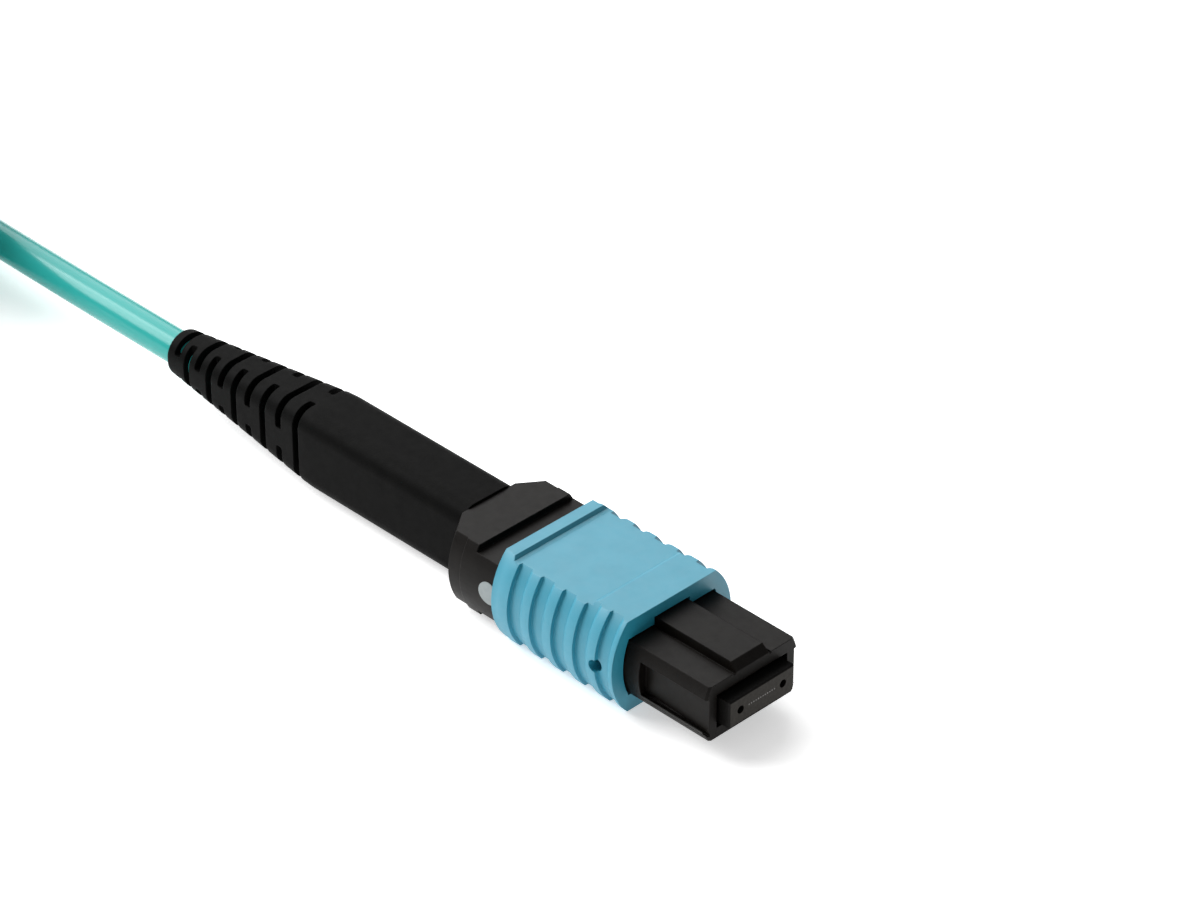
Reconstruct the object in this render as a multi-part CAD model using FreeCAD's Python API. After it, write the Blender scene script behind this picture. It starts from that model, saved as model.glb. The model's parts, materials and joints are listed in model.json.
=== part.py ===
import FreeCAD, Part
import math
import os

# Push-pull multi-fibre connector (MPO family, female, twelve fibres) on a 3 mm round cord.
# Millimetres. +X is the mating direction, +Z is up on the key side, and the origin is the
# centre of the ferrule's polished end face, midway between the two guide bores.

V = FreeCAD.Vector
FORWARD = V(1, 0, 0)
SIDES = (-1, 1)

# --- running clearances -------------------------------------------------------------
slide_gap = 0.12          # sleeve on housing and rear body
ferrule_gap = 0.10        # ferrule assembly inside the housing
seat_gap = 0.03           # a stop just clear of the face it meets
bore_gap = 0.05           # boot and crimp parts on round posts
cut = 1.0                 # how far a cutting tool runs past the face it leaves
round_share = 0.98        # corner of a near-round section over its half width
octagon_corner = 2 - math.sqrt(2)   # an octagon's cut corner over its half width
arc_share = 0.45          # part of a cord's shorter run that a bend takes up

# --- ferrule ------------------------------------------------------------------------
ferrule_half_width = 3.5
ferrule_top = 1.17
ferrule_bottom = -1.23
ferrule_length = 8.0
shoulder_x = -5.0         # front face of the ferrule's rear flange
shoulder_half_width = 3.72
shoulder_half_height = 1.75
guide_pitch = 4.6
guide_radius = 0.35
fibre_count = 12
fibre_pitch = 0.25
fibre_radius = 0.0625
fibre_stub_x = -4.2       # the bare fibres end in the window's resin
window_front_x = -2.4
window_rear_x = -4.6
window_half_width = 1.75
window_floor = -0.35
ribbon_mouth_half_width = 1.75
ribbon_mouth_half_height = 0.6
face_chamfer = 0.12

# --- pieces behind the ferrule -------------------------------------------------------
rubber_boot_length = 3.1
rubber_boot_depth = 2.2   # how far it sits inside the ferrule
keeper_length = 1.5
keeper_plate = 0.6
keeper_half_width = 3.6
keeper_half_height = 1.6
keeper_lip = 0.25         # wall of the collar that centres the spring
keeper_corner = 0.45      # rounding of that collar, inside the oval coil
pin_slot_half = 0.28      # half width of the slot that grips the groove behind a pin's head
ribbon_half_width = 1.52
ribbon_half_height = 0.16
ribbon_corner = 0.14
bundle_radius = 0.7

# --- inner housing -------------------------------------------------------------------
housing_front = -1.05
housing_rear = -20.4
housing_top = 2.62
housing_bottom = -2.42
housing_half_flat = 4.55
housing_bulge = 5.15
mouth_top = 1.57
mouth_bottom = -1.5
cavity_half_height = shoulder_half_height + ferrule_gap
cavity_half_width = shoulder_half_width + ferrule_gap
recess_rear = -8.0
recess_top = 1.56
recess_bottom = -1.6
recess_floor_rear = 4.35
recess_floor_front = 4.6
key_top = 3.3
key_half_top = 1.7
key_half_base = 1.8
key_bevel = 0.6
key_rear = -11.3
key_channel_width = 0.25
key_channel_depth = 0.15
front_chamfer = 0.15

# --- rear body -----------------------------------------------------------------------
collar_front = -25.7
collar_rear = -29.8
collar_top = 3.45
collar_bottom = -3.25
collar_half_flat = 4.9
collar_bulge = 5.9
collar_step = 0.55        # height of the collar above the neck
neck_half_flat = 4.75
neck_bulge = 5.45
corner_cut_x = 1.5        # the collar's sides turn in towards the boot, along the cord
corner_cut_y = 2.05       # and across it
neck_top = collar_top - collar_step
neck_bottom = collar_bottom + collar_step
spigot_front = -18.6      # seat of the ferrule spring
spigot_gap = 0.06
hook_front = -18.9
hook_rear = -19.9
hook_half_width = 1.2
hook_height = 0.5
hook_root = 0.2           # how far the hook starts inside the spigot
hook_land = 0.4           # flat top behind the hook's ramp
passage_half_width = 2.2  # rectangular way for the fibres through the neck
passage_half_height = 0.9
passage_corner = 0.4
passage_rear = -27.5
post_radius = 1.75
post_bore = 1.3
post_rear = -36.5
rib_depth = 0.1           # crimp ribs turned on the post
rib_pitch = 1.1
rib_groove = 0.3
rib_margin = 0.9          # plain length at each end of the ribs
dot_x = -23.8
dot_z = 0.25
dot_radius = 1.0
dot_proud = 0.05
dot_depth = 0.35
neck_wide_front = dot_x + dot_radius + bore_gap   # the neck narrows here, inside the sleeve

# --- coupling sleeve -----------------------------------------------------------------
sleeve_front = -9.55
sleeve_rear = -22.9
sleeve_top = 4.4
sleeve_bottom = -4.05
sleeve_half_flat = 4.8
sleeve_bulge = 6.5
sleeve_travel = 2.0       # full pull-back that frees the adapter's latches
front_wall_rear = -12.1   # the close-fitting mouth ends here and the wide bore starts
sleeve_bore_bulge = 5.72
panel_depth = 0.35
panel_front = -13.3
panel_rear = -21.2
rim_slope = 0.6           # run of the slope between the panel and its rear rim
rim_step_run = 0.15       # its steep upper part
rim_step_depth = 0.22
ridge_count = 5
ridge_pitch = 2.4
ridge_first = -21.05      # rearmost step
ridge_depth = 0.3
step_run = 0.2
valley_run = 0.85
ramp_end = 1.4
side_hole_x = -11.5
side_hole_radius = 0.55

# --- springs -------------------------------------------------------------------------
side_spring_y = 5.0
side_spring_z = (housing_top + housing_bottom) / 2
side_spring_radius = 0.46
side_spring_wire = 0.1
side_spring_turns = 9
spring_stations = 12      # cross sections in one turn of any spring
spring_wire_sides = 6
spring_groove_radius = 0.72
tab_radius = 0.62
tab_rear = -13.2
tab_half_height = 0.45
ferrule_spring_half_width = 3.0
ferrule_spring_half_height = 1.45
ferrule_spring_wire = 0.22
ferrule_spring_turns = 7

# --- crimp and cord ------------------------------------------------------------------
cord_radius = 1.5
yarn_thickness = 0.18
crimp_wall = 0.3
crimp_front = -30.4
crimp_waist_front = -36.9
crimp_waist_rear = -37.6
crimp_rear = -40.4
jacket_front = -37.2
jacket_bore = 0.95
jacket_bore_depth = 4.0
bundle_rear = -38.4
cord_exit_x = -66.3

# --- strain-relief boot --------------------------------------------------------------
boot_front = collar_rear
boot_half_width = 4.4
boot_half_height = 3.15
boot_corner = 2.95
boot_waist_x = -47.5
boot_waist_half_width = 4.25
boot_waist_half_height = 3.4
boot_waist_corner = 3.1
boot_tail_x = -66.8
boot_tail_radius = 2.0
boot_socket_rear = -41.0
slot_first_x = -48.6
slot_tail_gap = 1.56      # from the last slot's middle to the tail
slot_shrink = 0.95        # each step is this much shorter than the one before
slot_count = 10
slot_width = 0.65
slot_bridge = 0.8         # half width of the web that a slot leaves
boot_rim = 0.4            # rounding of the tail's rim

# --- put-away cord -------------------------------------------------------------------
floor_z = sleeve_bottom
tie_thickness = 0.35
tie_width = 5.0
hank_layers = 4
hank_columns = 2
hank_centre_y = -9.0
hank_near_x = -104.5      # centre of the end loop nearer the connector
hank_straight = 27.0
hank_inner_radius = 9.0   # cord centre line on the innermost lap
cord_route = (            # centre line from the boot's tail to the first lap
    V(cord_exit_x, 0, 0),
    V(-93.0, 0, 0),
    V(-106.0, 3.0, -2.2),
    V(-112.0, 3.0, -2.2),
)


def box(x0, x1, y0, y1, z0, z1):
    return Part.makeBox(x1 - x0, y1 - y0, z1 - z0, V(x0, y0, z0))


def rod(x0, x1, radius, y=0.0, z=0.0):
    return Part.makeCylinder(radius, x1 - x0, V(x0, y, z), FORWARD)


def polygon(points):
    return Part.makePolygon(list(points) + [points[0]])


def prism(wire, direction):
    return Part.Face(wire).extrude(direction)


def arc_y(x, half_flat, bulge, half_height, middle, side):
    """A bulging side: an arc from the top edge to the bottom edge at one station."""
    top = V(x, side * half_flat, middle + half_height)
    crown = V(x, side * bulge, middle)
    bottom = V(x, side * half_flat, middle - half_height)
    return Part.Arc(top, crown, bottom).toShape()


def barrel_wire(x, half_flat, bulge, bottom, top):
    """A section with flat top and bottom and bulging sides."""
    middle = (top + bottom) / 2
    half = (top - bottom) / 2
    right = arc_y(x, half_flat, bulge, half, middle, 1)
    left = arc_y(x, half_flat, bulge, half, middle, -1)
    upper = Part.makeLine(V(x, -half_flat, top), V(x, half_flat, top))
    lower = Part.makeLine(V(x, -half_flat, bottom), V(x, half_flat, bottom))
    return Part.Wire(Part.sortEdges([upper, right, lower, left])[0])


def barrel(x0, x1, half_flat, bulge, bottom, top):
    """A bar along X with that section."""
    return prism(barrel_wire(x0, half_flat, bulge, bottom, top), V(x1 - x0, 0, 0))


def rounded_wire(x, half_width, half_height, corner):
    """A rounded rectangle across X, as four lines and four arcs."""
    y, z = half_width - corner, half_height - corner
    k = corner * math.sqrt(0.5)
    edges = []
    centres = ((y, z, 0), (-y, z, 1), (-y, -z, 2), (y, -z, 3))
    turn = ((1, 0), (0, 1), (-1, 0), (0, -1))
    for cy, cz, n in centres:
        a, b = turn[n], turn[(n + 1) % 4]
        start = V(x, cy + corner * a[0], cz + corner * a[1])
        mid = V(x, cy + k * (a[0] + b[0]), cz + k * (a[1] + b[1]))
        end = V(x, cy + corner * b[0], cz + corner * b[1])
        following = centres[(n + 1) % 4]
        c = turn[(n + 1) % 4]
        nxt = V(x, following[0] + corner * c[0], following[1] + corner * c[1])
        edges += [Part.Arc(start, mid, end).toShape(), Part.makeLine(end, nxt)]
    return Part.Wire(edges)


def cut_corner_wire(x, half_width, half_height, corner):
    """A rectangle across X with its corners cut off, for hidden lofts with flat faces."""
    y, z = half_width - corner, half_height - corner
    return polygon((V(x, half_width, z), V(x, y, half_height), V(x, -y, half_height),
                    V(x, -half_width, z), V(x, -half_width, -z), V(x, -y, -half_height),
                    V(x, y, -half_height), V(x, half_width, -z)))


def octagon_wire(x, radius):
    """The same eight edges, with equal sides that touch a circle."""
    return cut_corner_wire(x, radius, radius, radius * octagon_corner)


def round_wire(x, radius):
    """A near-round section with the same edges as rounded_wire, for lofts between the two."""
    return rounded_wire(x, radius, radius, radius * round_share)


def cut_all(body, tools):
    for tool in tools:
        body = body.cut(tool)
    return body


def fuse_all(shapes):
    body = shapes[0]
    for shape in shapes[1:]:
        body = body.fuse(shape)
    return body.removeSplitter()


# --- ferrule group -------------------------------------------------------------------
def fibre_places():
    first = -(fibre_count - 1) / 2 * fibre_pitch
    return [first + n * fibre_pitch for n in range(fibre_count)]


def make_ferrule():
    nose = box(shoulder_x, 0, -ferrule_half_width, ferrule_half_width, ferrule_bottom, ferrule_top)
    nose = nose.makeChamfer(face_chamfer, [e for e in nose.Edges if e.BoundBox.XMin > -0.01])
    flange = box(-ferrule_length, shoulder_x, -shoulder_half_width, shoulder_half_width,
                 -shoulder_half_height, shoulder_half_height)
    body = nose.fuse(flange).removeSplitter()
    tools = [rod(-ferrule_length - cut, cut, guide_radius, s * guide_pitch / 2) for s in SIDES]
    tools.append(box(window_rear_x, window_front_x, -window_half_width, window_half_width,
                     window_floor, shoulder_half_height + cut))
    tools.append(box(-ferrule_length - cut, window_rear_x + seat_gap, -ribbon_mouth_half_width,
                     ribbon_mouth_half_width, -ribbon_mouth_half_height, ribbon_mouth_half_height))
    tools += [rod(window_front_x - seat_gap, cut, fibre_radius, y) for y in fibre_places()]
    return cut_all(body, tools)


def make_fibre_array():
    return Part.Compound([rod(fibre_stub_x, 0, fibre_radius, y) for y in fibre_places()])


def make_window_resin():
    resin = box(window_rear_x + seat_gap, window_front_x, -window_half_width, window_half_width,
                window_floor, ferrule_top)
    return cut_all(resin, [rod(fibre_stub_x, window_front_x + cut, fibre_radius, y)
                           for y in fibre_places()])


def ribbon_slot(front, rear):
    return box(rear, front, -ribbon_half_width, ribbon_half_width,
               -ribbon_half_height, ribbon_half_height)


def make_ferrule_boot():
    front = -ferrule_length + rubber_boot_depth
    rear = front - rubber_boot_length
    body = box(rear, front, -ribbon_mouth_half_width, ribbon_mouth_half_width,
               -ribbon_mouth_half_height, ribbon_mouth_half_height)
    return body.cut(ribbon_slot(front + cut, rear - cut))


def make_pin_keeper():
    front = -ferrule_length
    rear = front - keeper_length
    plate = box(front - keeper_plate, front, -keeper_half_width, keeper_half_width,
                -keeper_half_height, keeper_half_height)
    inner_y = ribbon_mouth_half_width + bore_gap
    inner_z = ribbon_mouth_half_height + bore_gap
    ring_y = inner_y + keeper_lip
    ring_z = inner_z + keeper_lip
    ring = prism(rounded_wire(rear, ring_y, ring_z, keeper_corner),
                 V(keeper_length - keeper_plate, 0, 0))
    body = plate.fuse(ring).removeSplitter()
    tools = [box(rear - cut, front + cut, -inner_y, inner_y, -inner_z, inner_z)]
    for side in SIDES:
        near, out = sorted((side * (guide_pitch / 2 - pin_slot_half),
                            side * (keeper_half_width + cut)))
        tools.append(box(front - keeper_plate, front + cut, near, out,
                         -pin_slot_half, pin_slot_half))
    return cut_all(body, tools)


def make_fibre_ribbon():
    start = window_rear_x + seat_gap
    flat_end = spigot_front
    round_start = passage_rear
    flat = ribbon_slot(start, flat_end)
    loft = Part.makeLoft([cut_corner_wire(flat_end, ribbon_half_width, ribbon_half_height,
                                          ribbon_corner),
                          octagon_wire(round_start, bundle_radius)], True, True)
    bundle = prism(octagon_wire(round_start, bundle_radius), V(bundle_rear - round_start, 0, 0))
    return fuse_all([flat, loft, bundle])


# --- housing -------------------------------------------------------------------------
def make_key():
    front_face = (V(housing_front, -key_half_base, housing_top - key_channel_depth),
                  V(housing_front, key_half_base, housing_top - key_channel_depth),
                  V(housing_front, key_half_base, housing_top),
                  V(housing_front, key_half_top, key_top),
                  V(housing_front, -key_half_top, key_top),
                  V(housing_front, -key_half_base, housing_top))
    key = prism(polygon(front_face), V(key_rear - housing_front, 0, 0))
    bevel = polygon((V(housing_front, -key_half_base - cut, housing_top),
                     V(housing_front + cut, -key_half_base - cut, housing_top),
                     V(housing_front + cut, -key_half_base - cut, key_top + cut),
                     V(housing_front - key_bevel, -key_half_base - cut, key_top + cut),
                     V(housing_front - key_bevel, -key_half_base - cut, key_top)))
    return key.cut(prism(bevel, V(0, 2 * (key_half_base + cut), 0)))


def make_latch_recess(side):
    plan = polygon((V(housing_front + cut, side * recess_floor_front, recess_bottom),
                    V(housing_front, side * recess_floor_front, recess_bottom),
                    V(recess_rear, side * recess_floor_rear, recess_bottom),
                    V(recess_rear, side * (housing_bulge + cut), recess_bottom),
                    V(housing_front + cut, side * (housing_bulge + cut), recess_bottom)))
    return prism(plan, V(0, 0, recess_top - recess_bottom))


def make_inner_housing():
    shell = barrel(housing_rear, housing_front, housing_half_flat, housing_bulge,
                   housing_bottom, housing_top)
    shell = shell.makeChamfer(front_chamfer, [e for e in shell.Edges
                                              if e.BoundBox.XMin > housing_front - 0.01
                                              and e.BoundBox.ZMax - e.BoundBox.ZMin > 1])
    tools = [box(shoulder_x, housing_front + cut, -cavity_half_width, cavity_half_width,
                 mouth_bottom, mouth_top),
             box(housing_rear - cut, shoulder_x + seat_gap, -cavity_half_width, cavity_half_width,
                 -cavity_half_height, cavity_half_height)]
    groove_front = front_wall_rear + seat_gap
    for side in SIDES:
        tools.append(make_latch_recess(side))
        tools.append(rod(housing_rear - cut, groove_front, spring_groove_radius,
                         side * side_spring_y, side_spring_z))
        tools.append(box(hook_rear - seat_gap, hook_front + seat_gap,
                         -hook_half_width - seat_gap, hook_half_width + seat_gap,
                         min(0, side * (housing_top + cut)), max(0, side * (housing_top + cut))))
        edge = side * (key_half_base + key_channel_width / 2)
        tools.append(box(key_rear, housing_front + cut, edge - key_channel_width / 2,
                         edge + key_channel_width / 2, housing_top - key_channel_depth,
                         housing_top + cut))
    return cut_all(shell, tools).fuse(make_key()).removeSplitter()


# --- rear body -----------------------------------------------------------------------
def make_passage():
    wide = box(passage_rear, spigot_front + cut, -passage_half_width, passage_half_width,
               -passage_half_height, passage_half_height)
    funnel = Part.makeLoft([cut_corner_wire(passage_rear, passage_half_width,
                                            passage_half_height, passage_corner),
                            octagon_wire(collar_rear, post_bore)], True, True)
    return [wide, funnel, rod(post_rear - cut, collar_rear + seat_gap, post_bore)]


def make_rear_body():
    turn_x = collar_rear + corner_cut_x
    body = barrel(turn_x, neck_wide_front, collar_half_flat, collar_bulge,
                  collar_bottom, collar_top)
    shoulder = Part.makeLoft([barrel_wire(turn_x, collar_half_flat, collar_bulge,
                                          collar_bottom, collar_top),
                              barrel_wire(collar_rear, collar_half_flat - corner_cut_y,
                                          collar_bulge - corner_cut_y, collar_bottom,
                                          collar_top)], True, True)
    neck = barrel(neck_wide_front, housing_rear, neck_half_flat, neck_bulge,
                  neck_bottom, neck_top)
    tools = [box(collar_front, housing_rear + cut, -collar_bulge - cut, collar_bulge + cut,
                 neck_top, collar_top + cut),
             box(collar_front, housing_rear + cut, -collar_bulge - cut, collar_bulge + cut,
                 collar_bottom - cut, neck_bottom)]
    body = cut_all(body, tools)
    spigot = box(housing_rear, spigot_front, -cavity_half_width + spigot_gap,
                 cavity_half_width - spigot_gap, -cavity_half_height + spigot_gap,
                 cavity_half_height - spigot_gap)
    post = rod(post_rear, collar_rear, post_radius)
    body = fuse_all([body, shoulder, neck, spigot, post] + [make_hook(side) for side in SIDES])
    tools = make_passage()
    ribs = int((collar_rear - post_rear - 2 * rib_margin) / rib_pitch) + 1
    for n in range(ribs):
        x = collar_rear - rib_margin - n * rib_pitch
        ring = rod(x - rib_groove, x, post_radius + cut)
        tools.append(ring.cut(rod(x - rib_pitch, x + rib_pitch, post_radius - rib_depth)))
    tools.append(dot_plug())
    return cut_all(body, tools)


def make_hook(side):
    base = side * (cavity_half_height - spigot_gap)
    tip = base + side * hook_height
    outline = polygon((V(hook_rear, -hook_half_width, base - side * hook_root),
                       V(hook_rear, -hook_half_width, tip),
                       V(hook_rear + hook_land, -hook_half_width, tip),
                       V(hook_front, -hook_half_width, base),
                       V(hook_front, -hook_half_width, base - side * hook_root)))
    return prism(outline, V(0, 2 * hook_half_width, 0))


def dot_plug(proud=0.0):
    """The marker inlay on the neck's -Y side, down to its pocket's floor."""
    outer = collar_bulge + cut
    plug = Part.makeCylinder(dot_radius, cut + dot_depth, V(dot_x, -outer, dot_z), V(0, 1, 0))
    skin = barrel(collar_front, neck_wide_front + cut, collar_half_flat + proud,
                  collar_bulge + proud, collar_bottom, collar_top)
    return plug.common(skin)


# --- sleeve --------------------------------------------------------------------------
def make_panel_cut(level, outward):
    """The sunk panel on one broad face, with a step and a slope up to the rear rim."""
    floor = level - outward * panel_depth
    above = level + outward * cut
    half = sleeve_bulge + cut
    rim = panel_rear - rim_slope
    outline = polygon((V(rim, -half, level),
                       V(rim + rim_step_run, -half, level - outward * rim_step_depth),
                       V(panel_rear, -half, floor), V(panel_front, -half, floor),
                       V(panel_front, -half, above), V(rim, -half, above)))
    return prism(outline, V(0, 2 * half, 0))


def outside_wire(x, half_flat, bulge, half_height, side):
    """Everything outside a bulging side at one station, as a wire for a loft."""
    middle = (sleeve_top + sleeve_bottom) / 2
    reach = half_height + cut / 2
    radius = (half_height ** 2 + (bulge - half_flat) ** 2) / (2 * (bulge - half_flat))
    centre = bulge - radius
    end = centre + math.sqrt(radius ** 2 - reach ** 2)
    far = sleeve_bulge + cut
    arc = arc_y(x, end, bulge, reach, middle, side)
    corners = [V(x, side * end, middle - reach), V(x, side * far, middle - reach),
               V(x, side * far, middle + reach), V(x, side * end, middle + reach)]
    lines = [Part.makeLine(a, b) for a, b in zip(corners, corners[1:])]
    return Part.Wire([arc] + lines)


def make_ridge_cut(step_x, side):
    """One saw-tooth valley over the whole height: a steep step, a flat and a ramp back up."""
    half_height = (sleeve_top - sleeve_bottom) / 2
    low, high = -ridge_depth, ridge_depth / 4
    stations = ((step_x, high), (step_x + step_run, low),
                (step_x + valley_run, low), (step_x + ramp_end, high))
    wires = [outside_wire(x, sleeve_half_flat + level, sleeve_bulge + level, half_height, side)
             for x, level in stations]
    return Part.makeLoft(wires, True, True)


def make_coupling_sleeve():
    body = barrel(sleeve_rear, sleeve_front, sleeve_half_flat, sleeve_bulge,
                  sleeve_bottom, sleeve_top)
    tools = [make_panel_cut(sleeve_top, 1), make_panel_cut(sleeve_bottom, -1)]
    tools.append(barrel(front_wall_rear - cut, sleeve_front + cut, housing_half_flat + slide_gap,
                        housing_bulge + slide_gap, housing_bottom - slide_gap,
                        housing_top + slide_gap))
    tools.append(barrel(sleeve_rear - cut, front_wall_rear, collar_half_flat, sleeve_bore_bulge,
                        neck_bottom - slide_gap, neck_top + slide_gap))
    counterbore_front = neck_wide_front + sleeve_travel + slide_gap
    wide = barrel(sleeve_rear - cut, counterbore_front, collar_half_flat + slide_gap,
                  collar_bulge + slide_gap, collar_bottom, collar_top)
    tools.append(wide.common(box(sleeve_rear - cut, counterbore_front, -sleeve_bulge, sleeve_bulge,
                                 neck_bottom - slide_gap, neck_top + slide_gap)))
    tools.append(box(key_rear - seat_gap, sleeve_front + cut, -key_half_base - slide_gap,
                     key_half_base + slide_gap, 0, key_top + slide_gap))
    for side in SIDES:
        for n in range(ridge_count):
            tools.append(make_ridge_cut(ridge_first + n * ridge_pitch, side))
        tools.append(Part.makeCylinder(side_hole_radius, sleeve_bulge,
                                       V(side_hole_x, side * housing_half_flat, side_spring_z),
                                       V(0, side, 0)))
    body = cut_all(body, tools)
    return fuse_all([body] + [make_spring_tab(side) for side in SIDES])


def make_spring_tab(side):
    """The post inside the sleeve that runs in the housing's groove and pushes the spring."""
    pin = rod(tab_rear, front_wall_rear, tab_radius, side * side_spring_y, side_spring_z)
    root = box(tab_rear, front_wall_rear, 0, sleeve_bore_bulge + ridge_depth / 2 - side_spring_y,
               side_spring_z - tab_half_height, side_spring_z + tab_half_height)
    if side > 0:
        root.translate(V(0, side_spring_y, 0))
    else:
        root.translate(V(0, -sleeve_bore_bulge - ridge_depth / 2, 0))
    return pin.fuse(root)


# --- springs -------------------------------------------------------------------------
def coil_spring(x0, x1, half_width, half_height, wire, turns, y, z):
    """Wire wound on an oval from x0 to x1, lofted through a small polygon at each station."""
    count = turns * spring_stations
    start, run = x0 + wire, x1 - x0 - 2 * wire
    rings = []
    for n in range(count + 1):
        angle = 2 * math.pi * n / spring_stations
        outward = V(0, math.cos(angle), math.sin(angle))
        centre = V(start + run * n / count, y + half_width * outward.y,
                   z + half_height * outward.z)
        corners = []
        for side in range(spring_wire_sides):
            turn = 2 * math.pi * side / spring_wire_sides
            corners.append(centre + FORWARD * (wire * math.cos(turn))
                           + outward * (wire * math.sin(turn)))
        rings.append(polygon(corners))
    return Part.makeLoft(rings, True, True)


def make_side_spring(side):
    return coil_spring(housing_rear + seat_gap, tab_rear - seat_gap, side_spring_radius,
                       side_spring_radius, side_spring_wire, side_spring_turns,
                       side * side_spring_y, side_spring_z)


def make_ferrule_spring():
    front = -ferrule_length - keeper_plate
    return coil_spring(spigot_front + seat_gap, front - seat_gap, ferrule_spring_half_width,
                       ferrule_spring_half_height, ferrule_spring_wire, ferrule_spring_turns, 0, 0)


# --- crimp and cord end --------------------------------------------------------------
def revolve(profile):
    """A turned piece from (x, radius) points about the cord's axis."""
    face = Part.Face(polygon([V(x, 0, r) for x, r in profile]))
    return face.revolve(V(0, 0, 0), FORWARD, 360)


def make_crimp_ring():
    inner = post_radius + yarn_thickness
    outer = inner + crimp_wall
    return revolve(((crimp_front, inner), (crimp_front, outer), (crimp_waist_front, outer),
                    (crimp_waist_rear, cord_radius + crimp_wall),
                    (crimp_rear, cord_radius + crimp_wall), (crimp_rear, cord_radius),
                    (crimp_waist_rear, cord_radius), (crimp_waist_front, inner)))


def make_aramid_yarn():
    front, rear = crimp_front + seat_gap, post_rear
    return rod(rear, front, post_radius + yarn_thickness).cut(rod(rear - cut, front + cut,
                                                                  post_radius))


def make_cord_end():
    jacket = rod(cord_exit_x, jacket_front, cord_radius)
    return jacket.cut(rod(jacket_front - jacket_bore_depth, jacket_front + cut, jacket_bore))


# --- boot ----------------------------------------------------------------------------
def slot_stations():
    """Middles of the slots, from the grip to the tail, with steps that shrink evenly."""
    run = slot_first_x - (boot_tail_x + slot_tail_gap)
    step = run / sum(slot_shrink ** n for n in range(slot_count - 1))
    x, found = slot_first_x, []
    for _ in range(slot_count):
        found.append(x)
        x -= step
        step *= slot_shrink
    return found


def make_boot():
    tail = boot_tail_radius
    grip = Part.makeLoft([rounded_wire(boot_front, boot_half_width, boot_half_height, boot_corner),
                          rounded_wire(boot_waist_x, boot_waist_half_width,
                                       boot_waist_half_height, boot_waist_corner)], True, True)
    taper = Part.makeLoft([rounded_wire(boot_waist_x, boot_waist_half_width,
                                        boot_waist_half_height, boot_waist_corner),
                           round_wire(boot_tail_x + boot_rim, tail)],
                          True, True)
    rim = Part.makeLoft([round_wire(boot_tail_x + boot_rim, tail),
                         round_wire(boot_tail_x, tail - boot_rim / 2)], True, True)
    body = fuse_all([grip, taper, rim])
    ring = post_radius + yarn_thickness + crimp_wall + bore_gap
    heel = cord_radius + crimp_wall + bore_gap
    bore = cord_radius + bore_gap
    socket = revolve(((boot_front + cut, 0), (boot_front + cut, ring), (crimp_waist_front, ring),
                      (crimp_waist_rear, heel), (crimp_rear - seat_gap, heel),
                      (boot_socket_rear, bore), (boot_tail_x - cut, bore), (boot_tail_x - cut, 0)))
    tools = [socket]
    half, far = slot_width / 2, boot_half_width + cut
    for n, x in enumerate(slot_stations()):
        for side in SIDES:
            near, out = sorted((side * slot_bridge, side * far))
            across = (near, out, -far, far) if n % 2 == 0 else (-far, far, near, out)
            tools.append(box(x - half, x + half, *across))
    return cut_all(body, tools)


# --- cord ----------------------------------------------------------------------------
def rounded_path(points):
    """Straight runs joined by tangent arcs, with each arc's radius."""
    edges, radii, at = [], [], points[0]
    for before, corner, after in zip(points, points[1:], points[2:]):
        back, ahead = before - corner, after - corner
        shorter = min(back.Length, ahead.Length)
        turn = math.pi - back.getAngle(ahead)
        reach = arc_share * shorter
        radii.append(reach / math.tan(turn / 2))
        back.normalize()
        ahead.normalize()
        start, end = corner + back * reach, corner + ahead * reach
        inward = back + ahead
        inward.normalize()
        middle = corner + inward * (math.hypot(radii[-1], reach) - radii[-1])
        edges += [Part.makeLine(at, start), Part.Arc(start, middle, end).toShape()]
        at = end
    edges.append(Part.makeLine(at, points[-1]))
    return Part.Wire(edges), radii


def make_cord():
    path, radii = rounded_path(cord_route)
    tangent = cord_route[1] - cord_route[0]
    section = Part.Wire(Part.Circle(cord_route[0], tangent, cord_radius).toShape())
    tube = path.makePipeShell([section], True, False)
    print("cord radii", [round(r, 1) for r in radii], "tube length", round(path.Length, 2),
          "volume share", round(tube.Volume / (math.pi * cord_radius ** 2 * path.Length), 4))
    return tube


def stadium(radius, z0, z1):
    """A block with half-round ends, as wide as the lap that it follows."""
    far_x = hank_near_x - hank_straight
    block = box(far_x, hank_near_x, hank_centre_y - radius, hank_centre_y + radius, z0, z1)
    for x in (far_x, hank_near_x):
        end = Part.makeCylinder(radius, z1 - z0, V(x, hank_centre_y, z0))
        block = block.fuse(end)
    return block.removeSplitter()


def hank_levels():
    base = floor_z + tie_thickness
    return base, base + hank_layers * 2 * cord_radius


def hank_edges():
    inner = hank_inner_radius - cord_radius
    return inner, inner + hank_columns * 2 * cord_radius


def make_cord_hank():
    bottom, top = hank_levels()
    inner, outer = hank_edges()
    lap = [2 * hank_straight + 2 * math.pi * (hank_inner_radius + 2 * cord_radius * n)
           for n in range(hank_columns)]
    print("cord in the hank", round(hank_layers * sum(lap), 1))
    return stadium(outer, bottom, top).cut(stadium(inner, bottom - cut, top + cut))


def make_hank_tie(side):
    bottom, top = hank_levels()
    inner, outer = hank_edges()
    middle = hank_near_x - hank_straight / 2
    near, far = sorted((hank_centre_y + side * inner, hank_centre_y + side * outer))
    x0, x1, t = middle - tie_width / 2, middle + tie_width / 2, tie_thickness
    band = box(x0, x1, near - t, far + t, bottom - t, top + t)
    return band.cut(box(x0 - cut, x1 + cut, near, far, bottom, top))


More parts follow.
